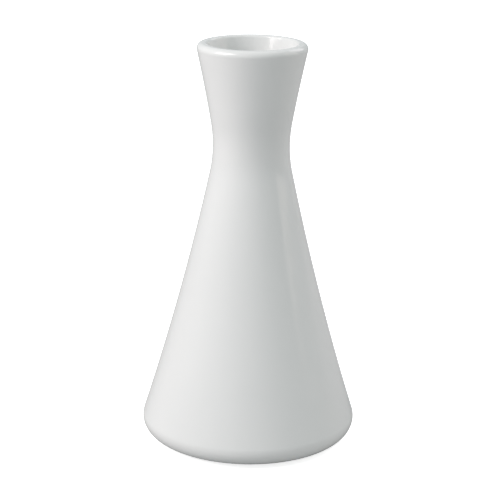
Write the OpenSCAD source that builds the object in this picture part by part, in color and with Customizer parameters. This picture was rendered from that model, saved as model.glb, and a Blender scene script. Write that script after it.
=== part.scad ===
// Flower vase: a small table bud vase of glazed porcelain, in millimetres.
// It stands on the XY plane with its axis on Z. Every outside size is measured over the glaze.
//
// The outline is five arcs, each tangent to the next: base corner, flank, waist, neck and lip.
// The wall is slip-cast, so its two faces run a constant distance apart and share arc centres.
// The lip is level on top, between a full outer edge and a tighter inner one, the rim.

/* [Overall] */
// Height from the foot to the crown of the lip
height = 130; // [108:1:156]
// Diameter at the widest point, just above the foot
base_d = 69.6; // [58:0.2:84]
// Diameter at the narrowest point
waist_d = 24.4; // [20:0.2:29.4]
// Height of the narrowest point
waist_z = 97.5; // [80:0.5:117]
// Diameter of the flared mouth, outside
mouth_d = 34.8; // [32:0.2:42]

/* [Curves] */
// Radius of the corner that tucks under to the foot
base_round = 5; // [3:0.5:6]
// Radius of the long, slightly hollow flank
flank_round = 900; // [500:50:3000]
// Radius of the waist, at most what the neck has room for
waist_round = 43; // [20:1:60]
// Radius of the flare between the waist and the lip
neck_round = 450; // [200:50:2000]
// Radius of the lip's outer edge, at most half of the wall
lip_round = 1.75; // [1:0.05:1.75]
// Radius of the lip's inner edge, at most a third of the wall
rim_round = 0.9; // [0.5:0.05:1.1]
// Radius inside, where the wall turns into the floor
inner_round = 3; // [1.5:0.5:8]

/* [Wall and foot] */
// Wall thickness over both glazes
wall = 3.5; // [2.8:0.1:4.2]
// Thickness of the fired glaze
glaze = 0.25; // [0.15:0.05:0.35]
// Thickness of the floor over both glazes
floor_t = 4; // [3:0.5:6]
// Distance from the root of the base corner in to the bare foot ring
foot_inset = 1.8; // [0.5:0.1:4]
// Width of the foot ring
foot_w = 2.5; // [1.5:0.5:4]
// Height of the foot ring under the body
foot_h = 1.2; // [0.6:0.1:2]
// Height of the glazed hollow inside the foot ring
recess_h = 1.5; // [1:0.1:2.5]

/* [Hidden] */

$fn = 180;

// Largest gap between an arc and the chords drawn for it.
chord_gap = 0.004;

// Share of the room between the waist and its neighbours that the waist's arc may take.
waist_share = 0.8;

// Shades of the bare porcelain and of the glaze.
bisque = [0.90, 0.88, 0.84];
white = [0.97, 0.97, 0.96];

// Direction from one point to another, in degrees.
function heading(p, q) = atan2(q.y - p.y, q.x - p.x);

// Point where two circles cross, on the side of larger X.
function crossing(c1, r1, c2, r2) =
    let (d = c2 - c1, len = norm(d), along = (r1 * r1 - r2 * r2 + len * len) / (2 * len),
         off = sqrt(r1 * r1 - along * along), side = [-d.y, d.x] * sign(-d.y))
    c1 + (along * d + off * side) / len;

// Centre at a height of a circle that is a reach away from another centre, towards the axis.
function inward(c, reach, z) = [c.x - sqrt(reach * reach - pow(c.y - z, 2)), z];

// Radius at which an arc that starts level at a point touches a bulge a gap away from it.
function touching(gap, bulge_r) = (gap * gap - bulge_r * bulge_r) / (2 * (gap.x + bulge_r));

// The base corner and the lip are bulges, with their centres in the porcelain.
lip_r = min(lip_round, wall / 2);
base_c = [base_d / 2 - base_round, foot_h + base_round];
lip_c = [mouth_d / 2 - lip_r, height - lip_r];

// The flank, waist and neck are hollows, with their centres outside it.
narrowest = [waist_d / 2, waist_z];
waist_r = min(waist_round,
    waist_share * touching(lip_c - narrowest, lip_r),
    waist_share * touching(base_c - narrowest, base_round));
waist_c = narrowest + [waist_r, 0];
flank_c = crossing(base_c, flank_round + base_round, waist_c, flank_round - waist_r);
neck_c = crossing(lip_c, neck_round + lip_r, waist_c, neck_round - waist_r);

// Direction in which the surface faces where two arcs join.
base_dir = heading(base_c, flank_c);
waist_dir = heading(waist_c, flank_c);
neck_dir = heading(waist_c, neck_c);
lip_dir = heading(lip_c, neck_c);

// The inside corner touches the inner face of the flank and the floor.
floor_z = recess_h + floor_t;
corner_c = inward(flank_c, flank_round + wall + inner_round, floor_z + inner_round);
corner_dir = heading(corner_c, flank_c);

// The rim touches the inner face of the neck and the top of the lip.
rim_r = min(rim_round, wall / 3);
rim_c = inward(neck_c, neck_round + wall - rim_r, height - rim_r);
rim_dir = heading(rim_c, neck_c);

// The foot ring stands just inside the base corner.
foot_r = base_c.x - foot_inset;
recess_r = foot_r - foot_w;

// Arc as points, without its last one, which is the first point of whatever follows.
function arc(c, r, from, to) =
    let (n = ceil(abs(to - from) / (2 * acos(1 - chord_gap / r))))
    [for (i = [0 : n - 1]) let (a = from + (to - from) * i / n) c + r * [cos(a), sin(a)]];

// Outside of the vase at a depth below its glazed surface, from the foot up to the lip's crown.
function outside(depth) = concat(
    [[foot_r, foot_h + depth]],
    arc(base_c, base_round - depth, -90, base_dir),
    arc(flank_c, flank_round + depth, base_dir + 180, waist_dir + 180),
    arc(waist_c, waist_r + depth, waist_dir + 180, neck_dir + 180),
    arc(neck_c, neck_round + depth, neck_dir + 180, lip_dir + 180),
    arc(lip_c, lip_r - depth, lip_dir, 90),
    [[lip_c.x, height - depth]]);

// Inside of the vase at a depth below its glazed surface, from the rim down to the floor.
function inside(depth) = concat(
    arc(rim_c, rim_r - depth, 90, rim_dir + 180),
    arc(neck_c, neck_round + wall - depth, rim_dir + 180, neck_dir + 180),
    arc(waist_c, waist_r + wall - depth, neck_dir + 180, waist_dir + 180),
    arc(flank_c, flank_round + wall - depth, waist_dir + 180, corner_dir + 180),
    arc(corner_c, inner_round + depth, corner_dir, -90),
    [[corner_c.x, floor_z - depth], [0, floor_z - depth]]);

// Inside of the vase with the top of its lip, from the crown on.
function lining(depth) = concat([[lip_c.x, height - depth]], inside(depth));

// Underside of the porcelain: the hollow and the foot ring, from the axis outwards.
underside = [[0, recess_h + glaze], [recess_r, recess_h + glaze], [recess_r, 0], [foot_r, 0]];

function reversed(path) = [for (i = [len(path) - 1 : -1 : 0]) path[i]];

// Coat of glaze between its own surface and the porcelain under it.
module coat(surface, under) {
    rotate_extrude() polygon(concat(surface, reversed(under)));
}

// Fired porcelain, bare only at the foot ring.
module porcelain_body() {
    color(bisque) rotate_extrude() polygon(concat(underside, outside(glaze), inside(glaze)));
}

// Dipped coat, from the root of the foot ring to the crown of the lip.
module outer_glaze() {
    color(white) coat(outside(0), outside(glaze));
}

// Poured lining, from the crown of the lip over the whole floor.
module inner_glaze() {
    color(white) coat(lining(0), lining(glaze));
}

// Coat brushed over the hollow inside the foot ring.
module base_glaze() {
    color(white) translate([0, 0, recess_h]) cylinder(h = glaze, r = recess_r);
}

porcelain_body();
outer_glaze();
inner_glaze();
base_glaze();
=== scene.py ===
"""Flower vase: the looks of its glazed porcelain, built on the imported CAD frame. Metres."""
import math

import bmesh
import bpy
from mathutils import Matrix, Vector

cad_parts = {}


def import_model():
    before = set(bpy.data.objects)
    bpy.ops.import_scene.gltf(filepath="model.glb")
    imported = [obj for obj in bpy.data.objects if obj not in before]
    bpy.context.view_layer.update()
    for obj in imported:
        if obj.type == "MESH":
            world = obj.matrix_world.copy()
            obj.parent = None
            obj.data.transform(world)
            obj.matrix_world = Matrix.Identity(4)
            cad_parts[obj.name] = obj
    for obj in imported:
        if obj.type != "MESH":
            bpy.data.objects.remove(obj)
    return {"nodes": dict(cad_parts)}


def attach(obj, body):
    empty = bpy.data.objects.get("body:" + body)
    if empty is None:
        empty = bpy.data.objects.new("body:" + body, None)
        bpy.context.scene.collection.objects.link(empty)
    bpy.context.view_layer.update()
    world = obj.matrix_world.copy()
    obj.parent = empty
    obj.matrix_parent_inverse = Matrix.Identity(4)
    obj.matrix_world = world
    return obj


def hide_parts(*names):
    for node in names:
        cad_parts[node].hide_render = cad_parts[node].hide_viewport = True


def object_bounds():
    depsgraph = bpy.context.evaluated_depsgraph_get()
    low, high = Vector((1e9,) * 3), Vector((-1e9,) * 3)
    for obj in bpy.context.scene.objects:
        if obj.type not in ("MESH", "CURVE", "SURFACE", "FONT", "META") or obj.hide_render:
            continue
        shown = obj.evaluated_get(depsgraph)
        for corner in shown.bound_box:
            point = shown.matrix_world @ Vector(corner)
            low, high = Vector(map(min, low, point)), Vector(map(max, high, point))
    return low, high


MM = 0.001

# ------------------------------------------------------------------ mesh sizes
SEGMENTS = 144                 # quads round the vase
MAX_TURN = math.radians(3)     # most that a curve turns from one ring to the next
MAX_BAND = 2.5 * MM            # longest step between two rings
CORNER = math.radians(30)      # a sharper turn than this is an edge, not a curve
STRAIGHT = math.radians(0.05)  # a smaller turn than this is none
EDGE_TURN = math.radians(10)   # turn at each point of a rounded edge
SAME_CHORD = 0.02              # chords of one arc differ by less than this share
ON_AXIS = 0.005 * MM           # nearer the axis than this counts as on it
DECIMALS = 7                   # two points of a section that agree to these, in metres, are one
GROUND_EDGE = 0.35 * MM        # rounding of the foot ring's ground edges
GLAZE_EDGE = 0.11 * MM         # rounding of the glaze where it stops

# Kiln warp: how far the wall stands off a true circle, as (waves round, twist in turns over
# the vase's height, phase in degrees, size).
WARP = [(2, 0.10, 20, 0.06 * MM), (3, -0.25, 140, 0.03 * MM), (5, 0.60, 75, 0.015 * MM)]
WARP_FADE = 8 * MM             # the warp dies out this far from the foot and from the lip

# ------------------------------------------------------------------ finishes
NOISE_SPREAD = (0.3, 0.7)      # most of a noise's values lie between these

GLAZE_IOR = 1.5
GLAZE_WHITE = (0.80, 0.81, 0.80)
GLAZE_POOLED = (0.74, 0.77, 0.76)
GLAZE_ROUGHNESS = (0.10, 0.16)
CLOUD = 30 * MM                # size of the faint clouds in the glaze
CLOUD_SHADE = 0.985            # their shade, as a share of the white
SHEEN_PATCH = 12 * MM          # size of the patches that differ in gloss
WAVE = 14 * MM
WAVE_DEPTH = 0.10 * MM
PEEL = 1.6 * MM                # size of the glaze's orange peel
PEEL_DEPTH = 0.004 * MM
OUTSIDE_POOL = 5 * MM          # the glaze pools below this height on the outside
FLOOR_POOL = 12 * MM           # inside, over the floor
FOOT_POOL = 3 * MM             # inside the foot ring

CLAY_IOR = 1.5
CLAY_SPECULAR = 0.3
CLAY_LIGHT = (0.78, 0.75, 0.70)
CLAY_DARK = (0.70, 0.67, 0.62)
CLAY_ROUGHNESS = (0.62, 0.85)
GRAIN = 0.5 * MM
GRAIN_DEPTH = 0.03 * MM
RUBBED = (0.46, 0.44, 0.42)    # grey of the patches that rub the table
RUBBED_PATCH = 4 * MM
RUBBED_FROM = (0.52, 0.72)     # values of the noise between which a patch fades in
RUBBED_MOST = 0.45             # share of grey at the middle of a patch

STAGE_IOR = 1.45
STAGE_SPECULAR = 0.2
STAGE_ROUGHNESS = (0.55, 0.65)
STAGE_CLOUD = 80 * MM
STAGE_CLOUD_SHADE = 0.98
STAGE_PATCH = 5 * MM
STAGE_TOOTH = 1 * MM
STAGE_TOOTH_DEPTH = 0.005 * MM

# ------------------------------------------------------------------ camera
CAMERA_BACK = 496 * MM         # distance from the vase's axis
CAMERA_HEIGHT = 213 * MM
CAMERA_PITCH = math.radians(16.87)
CAMERA_ROLL = math.radians(0.72)
CAMERA_SENSOR = 36             # width, in millimetres as Blender takes it
CAMERA_LENS = 115.5            # focal length, in millimetres too

# ------------------------------------------------------------------ light
# Square soft lights. Angles are in degrees: azimuth 0 is the camera's side and -90 the left.
SOFTBOXES = {
    "key": {"azimuth": -65, "elevation": 35, "distance": 0.80, "side": 0.50,
            "watts": 4.54, "colour": (1.0, 0.927, 0.930)},
    "fill": {"azimuth": 90, "elevation": 20, "distance": 0.80, "side": 0.50,
             "watts": 0.89, "colour": (1.0, 0.866, 0.80)},
    "rim": {"azimuth": 130, "elevation": 35, "distance": 1.20, "side": 0.60,
            "watts": 2.40, "colour": (1.0, 0.92, 0.97)},
}
ROOM_LIGHT = 0.55
ROOM_COLOUR = (0.915, 0.990, 1.0)
FLOOR_SHADE = 0.90
FLOOR_GLOW = 0.75              # the floor is lit from beneath, so it stays white up to the foot
BOUNCE_SHADE = 0.48
FLOOR_GAP = 0.2 * MM           # between the floor that is seen and the one that throws light
COVE = 3.0                     # radius and height of the studio cove
COVE_ROUND = 1.0               # radius where its floor curves up into its wall

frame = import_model()
cad_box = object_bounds()
HEIGHT = cad_box[1].z


# ------------------------------------------------------------------ sections
def section(node):
    """The (radius, height) points round a revolved CAD node, read off its mesh's seam at +X, and
    whether they close. A section that doesn't close runs from the axis to the axis."""
    mesh = frame["nodes"][node].data
    on_seam = {v.index: (round(max(v.co.x, 0), DECIMALS), round(v.co.z, DECIMALS))
               for v in mesh.vertices if abs(v.co.y) < ON_AXIS and v.co.x > -ON_AXIS}
    beside = {}
    for edge in mesh.edges:
        a, b = (on_seam.get(i) for i in edge.vertices)
        if a and b and a != b:
            beside.setdefault(a, set()).add(b)
            beside.setdefault(b, set()).add(a)
    ends = [p for p in beside if len(beside[p]) == 1]
    path = [min(ends or beside, key=lambda p: p[::-1])]    # from the lowest
    while True:
        onward = sorted(p for p in beside[path[-1]] if p not in path)
        if not onward:
            break
        path.append(onward[0])
    points = [Vector(p) for p in path]
    if ends:                   # a flat disc has no vertex at its middle
        points = [Vector((0, points[0].y))] + points + [Vector((0, points[-1].y))]
    return points, not ends


def turn(a, b):
    """Signed angle from one direction to another."""
    return math.atan2(a.x * b.y - a.y * b.x, a.dot(b))


def turned(v, angle):
    """A direction turned by an angle."""
    return Matrix.Rotation(angle, 2) @ v


def bends(points, closed):
    """The angle through which the path turns at each point. A path that doesn't close has none at
    its ends."""
    last = len(points) - 1
    return [0 if not closed and i in (0, last)
            else turn(at - points[i - 1], points[(i + 1) % (last + 1)] - at)
            for i, at in enumerate(points)]


def bare(points, closed):
    """The path without the points that lie on a straight stretch."""
    last = len(points) - 1
    return [p for i, (p, bend) in enumerate(zip(points, bends(points, closed)))
            if abs(bend) > STRAIGHT or (not closed and i in (0, last))]


def rounded(points, closed, radius, below):
    """The path with its sharp corners under a height rounded to a radius."""
    out = []
    for i, (at, bend) in enumerate(zip(points, bends(points, closed))):
        if abs(bend) < CORNER or at.y > below:
            out.append(at)
            continue
        ahead = (at - points[i - 1]).normalized()
        start = at - ahead * radius * math.tan(abs(bend) / 2)
        centre = start + turned(ahead, math.copysign(math.pi / 2, bend)) * radius
        steps = math.ceil(abs(bend) / EDGE_TURN)
        out += [centre + turned(start - centre, bend * k / steps) for k in range(steps + 1)]
    return out


def smoothed(points, closed):
    """The path with its chords drawn as the arcs that they stand for, in short steps.
    The chords of one arc are equal, so one as long as a neighbour turns as far as they do where
    they meet, and one on its own is straight."""
    corner = bends(points, closed)
    count = len(points)
    spans = count if closed else count - 1
    chords = [points[(i + 1) % count] - points[i] for i in range(spans)]
    out = []
    for i, chord in enumerate(chords):
        before = chords[i - 1], corner[i]
        after = chords[(i + 1) % spans], corner[(i + 1) % count]
        sweep = 0
        for other, bend in (before, after):
            same = math.isclose(other.length, chord.length, rel_tol=SAME_CHORD)
            if same and abs(bend) < CORNER:
                sweep = bend
        steps = max(1, math.ceil(abs(sweep) / MAX_TURN), math.ceil(chord.length / MAX_BAND))
        for k in range(steps):
            if abs(sweep) < STRAIGHT:
                out.append(points[i] + chord * k / steps)
                continue
            # The arc's centre is square to the chord's middle.
            arm = turned(chord, math.pi / 2) / (2 * math.tan(sweep / 2))
            centre = points[i] + chord / 2 + arm
            out.append(centre + turned(points[i] - centre, sweep * k / steps))
    return out if closed else out + [points[-1]]


# ------------------------------------------------------------------ meshes
def warp(angle, z):
    """How far the wall stands off a true circle, eased out towards the foot and the lip."""
    room = min(z, HEIGHT - z) / WARP_FADE
    fade = 1 if room >= 1 else room * room * (3 - 2 * room)
    off = 0
    for waves, twist, phase, size in WARP:
        place = waves * angle + math.radians(phase) + math.tau * twist * z / HEIGHT
        off += size * math.sin(place)
    return fade * off


def lathed(name, points, closed=False, off_round=lambda angle, z: 0):
    """A mesh turned from a path, with a function that says how far it stands off a true circle."""
    bm = bmesh.new()
    rings = []
    for p in points:
        if p.x < ON_AXIS:
            rings.append([bm.verts.new((0, 0, p.y))] * SEGMENTS)
            continue
        ring = []
        for k in range(SEGMENTS):
            angle = math.tau * k / SEGMENTS
            r = p.x + off_round(angle, p.y)
            ring.append(bm.verts.new((r * math.cos(angle), r * math.sin(angle), p.y)))
        rings.append(ring)
    for a, b in zip(rings, rings[1:] + rings[:1] if closed else rings[1:]):
        for k in range(SEGMENTS):
            # At the axis two corners are one, which leaves a triangle.
            corners = dict.fromkeys((a[k], a[k - 1], b[k - 1], b[k]))
            bm.faces.new(corners)
    bmesh.ops.recalc_face_normals(bm, faces=bm.faces)
    mesh = bpy.data.meshes.new(name)
    bm.to_mesh(mesh)
    bm.free()
    mesh.shade_smooth()
    mesh.set_sharp_from_angle(angle=CORNER)
    piece = bpy.data.objects.new(name, mesh)
    bpy.context.scene.collection.objects.link(piece)
    return piece


def revolved(name, node, edge):
    """A mesh turned from a CAD node's section, with the corners at the foot rounded to an edge."""
    points, closed = section(node)
    points = rounded(bare(points, closed), closed, edge, below=HEIGHT / 2)
    return lathed(name, smoothed(points, closed), closed, warp)


# ------------------------------------------------------------------ materials
class Material:
    """A Principled material whose node tree is laid out by short calls."""

    def __init__(self, name, **sockets):
        self.material = bpy.data.materials.new(name)
        self.material.use_nodes = True
        self.nodes = self.material.node_tree.nodes
        self.shader = self.nodes["Principled BSDF"]
        for socket, value in sockets.items():
            self.shader.inputs[socket.replace("_", " ")].default_value = value
        self.place = self.nodes.new("ShaderNodeTexCoord").outputs["Object"]

    def link(self, a, b):
        self.material.node_tree.links.new(a, b)

    def noise(self, size, detail=2.0, roughness=0.5):
        """Noise from 0 to 1 with features of about a size."""
        noise = self.nodes.new("ShaderNodeTexNoise")
        noise.inputs["Scale"].default_value = 1 / size
        noise.inputs["Detail"].default_value = detail
        noise.inputs["Roughness"].default_value = roughness
        self.link(self.place, noise.inputs["Vector"])
        return noise.outputs["Fac"]

    def height(self):
        """Height above the foot's plane."""
        split = self.nodes.new("ShaderNodeSeparateXYZ")
        self.link(self.place, split.inputs["Vector"])
        return split.outputs["Z"]

    def ranged(self, value, source, target):
        """A value carried from one range to another, clamped and eased."""
        node = self.nodes.new("ShaderNodeMapRange")
        node.interpolation_type = "SMOOTHSTEP"
        node.inputs["From Min"].default_value, node.inputs["From Max"].default_value = source
        node.inputs["To Min"].default_value, node.inputs["To Max"].default_value = target
        self.link(value, node.inputs["Value"])
        return node.outputs["Result"]

    def mixed(self, factor, a, b):
        """Colour a where the factor is 0 and b where it is 1."""
        node = self.nodes.new("ShaderNodeMix")
        node.data_type = "RGBA"
        self.link(factor, node.inputs["Factor"])
        first, second = (s for s in node.inputs if s.type == "RGBA")
        for socket, colour in ((first, a), (second, b)):
            if isinstance(colour, tuple):
                socket.default_value = (*colour, 1)
            else:
                self.link(colour, socket)
        return next(s for s in node.outputs if s.type == "RGBA")

    def bump(self, value, depth, under=None):
        """A relief whose full range is a depth, on top of another relief."""
        node = self.nodes.new("ShaderNodeBump")
        node.inputs["Distance"].default_value = depth
        self.link(value, node.inputs["Height"])
        if under:
            self.link(under, node.inputs["Normal"])
        return node.outputs["Normal"]

    def finish(self, colour, roughness, relief):
        self.link(colour, self.shader.inputs["Base Color"])
        self.link(roughness, self.shader.inputs["Roughness"])
        self.link(relief, self.shader.inputs["Normal"])
        return self.material


def shaded(colour, share):
    return tuple(share * c for c in colour)


def glaze(name, pool_top):
    """Clear gloss glaze over white porcelain: slightly wavy, and a little greener and deeper
    where it pools low down."""
    m = Material(name, IOR=GLAZE_IOR)
    cloud = m.ranged(m.noise(CLOUD), NOISE_SPREAD, (0, 1))
    base = m.mixed(cloud, GLAZE_WHITE, shaded(GLAZE_WHITE, CLOUD_SHADE))
    pool = m.ranged(m.height(), (0, pool_top), (1, 0))
    colour = m.mixed(pool, base, GLAZE_POOLED)
    roughness = m.ranged(m.noise(SHEEN_PATCH, detail=4), NOISE_SPREAD, GLAZE_ROUGHNESS)
    waves = m.bump(m.noise(WAVE, detail=1), WAVE_DEPTH)
    peel = m.bump(m.noise(PEEL, detail=1), PEEL_DEPTH, under=waves)
    return m.finish(colour, roughness, peel)


def bisque(name):
    """Bare fired porcelain: fine-grained, matt, and greyed in patches where it rubs the table."""
    m = Material(name, IOR=CLAY_IOR, Specular_IOR_Level=CLAY_SPECULAR)
    grain = m.noise(GRAIN, detail=4, roughness=0.7)
    clay = m.mixed(m.ranged(grain, NOISE_SPREAD, (0, 1)), CLAY_LIGHT, CLAY_DARK)
    patches = m.noise(RUBBED_PATCH, detail=5, roughness=0.65)
    colour = m.mixed(m.ranged(patches, RUBBED_FROM, (0, RUBBED_MOST)), clay, RUBBED)
    roughness = m.ranged(grain, NOISE_SPREAD, CLAY_ROUGHNESS)
    return m.finish(colour, roughness, m.bump(grain, GRAIN_DEPTH))


def backdrop(name, shade, glow):
    """Matt pale board with a faint cloud in its shade."""
    m = Material(name, IOR=STAGE_IOR, Specular_IOR_Level=STAGE_SPECULAR, Emission_Strength=glow)
    grey = (shade,) * 3
    colour = m.mixed(m.noise(STAGE_CLOUD), grey, shaded(grey, STAGE_CLOUD_SHADE))
    roughness = m.ranged(m.noise(STAGE_PATCH), (0, 1), STAGE_ROUGHNESS)
    return m.finish(colour, roughness, m.bump(m.noise(STAGE_TOOTH), STAGE_TOOTH_DEPTH))


# ------------------------------------------------------------------ pieces
def dress(piece, node, material):
    """The piece gets a material and rides with the root body, and the CAD node it replaces is
    hidden.
    """
    piece.data.materials.append(material)
    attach(piece, "root")
    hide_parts(node)


def vase():
    """The fired body and its three coats of glaze."""
    body = revolved("body", "porcelain_body", GROUND_EDGE)
    dress(body, "porcelain_body", bisque("bare_porcelain"))
    for name, node, pool_top in (("outside_coat", "outer_glaze", OUTSIDE_POOL),
                                 ("lining_coat", "inner_glaze", FLOOR_POOL),
                                 ("base_coat", "base_glaze", FOOT_POOL)):
        dress(revolved(name, node, GLAZE_EDGE), node, glaze(node + "_white", pool_top))


# ------------------------------------------------------------------ stage
def staging(name, path, shade, glow=0.0):
    """A piece of the stage, turned from a path."""
    surface = lathed(name, path)
    surface.data.materials.append(backdrop(name, shade, glow))
    return surface


def cove():
    """A pale floor that curves up into a wall all round, for the camera alone, over a greyer
    level one that throws light back at the vase."""
    steps = math.ceil(math.pi / 2 / EDGE_TURN)
    centre = Vector((COVE - COVE_ROUND, COVE_ROUND))
    down = Vector((0, -COVE_ROUND))
    bend = [centre + turned(down, math.pi / 2 * k / steps) for k in range(steps + 1)]
    path = [Vector((0, 0))] + bend + [Vector((COVE, COVE))]
    seen = staging("floor", path, FLOOR_SHADE, FLOOR_GLOW)
    seen.visible_diffuse = seen.visible_glossy = seen.visible_shadow = False
    under = [Vector((r, -FLOOR_GAP)) for r in (0, COVE)]
    thrown = staging("floor_bounce", under, BOUNCE_SHADE)
    thrown.visible_camera = False


def direction(azimuth, elevation):
    """Unit vector from the vase towards a place round it, from angles in degrees."""
    a, e = math.radians(azimuth), math.radians(elevation)
    return Vector((math.sin(a) * math.cos(e), -math.cos(a) * math.cos(e), math.sin(e)))


def softbox(name, azimuth, elevation, distance, side, watts, colour):
    """A square soft light that faces the middle of the vase."""
    light = bpy.data.lights.new(name, "AREA")
    light.shape = "SQUARE"
    light.size = side
    light.energy = watts
    light.color = colour
    lamp = bpy.data.objects.new(name, light)
    away = direction(azimuth, elevation)
    lamp.location = Vector((0, 0, HEIGHT / 2)) + away * distance
    lamp.rotation_euler = away.to_track_quat("Z", "Y").to_euler()
    lamp.visible_camera = False
    bpy.context.scene.collection.objects.link(lamp)


def world():
    """Even room light."""
    room = bpy.data.worlds.new("room")
    room.use_nodes = True
    background = room.node_tree.nodes["Background"]
    background.inputs["Color"].default_value = (*ROOM_COLOUR, 1)
    background.inputs["Strength"].default_value = ROOM_LIGHT
    bpy.context.scene.world = room


def camera():
    """A long lens from a little above, with a slight roll."""
    data = bpy.data.cameras.new("camera")
    data.sensor_width = CAMERA_SENSOR
    data.lens = CAMERA_LENS
    eye = bpy.data.objects.new("camera", data)
    pitch = Matrix.Rotation(math.pi / 2 - CAMERA_PITCH, 4, "X")
    roll = Matrix.Rotation(CAMERA_ROLL, 4, "Z")
    eye.matrix_world = Matrix.Translation((0, -CAMERA_BACK, CAMERA_HEIGHT)) @ pitch @ roll
    bpy.context.scene.collection.objects.link(eye)
    bpy.context.scene.camera = eye


vase()
cove()
for name, settings in SOFTBOXES.items():
    softbox(name, **settings)
world()
camera()
bpy.context.scene.view_settings.view_transform = "Standard"
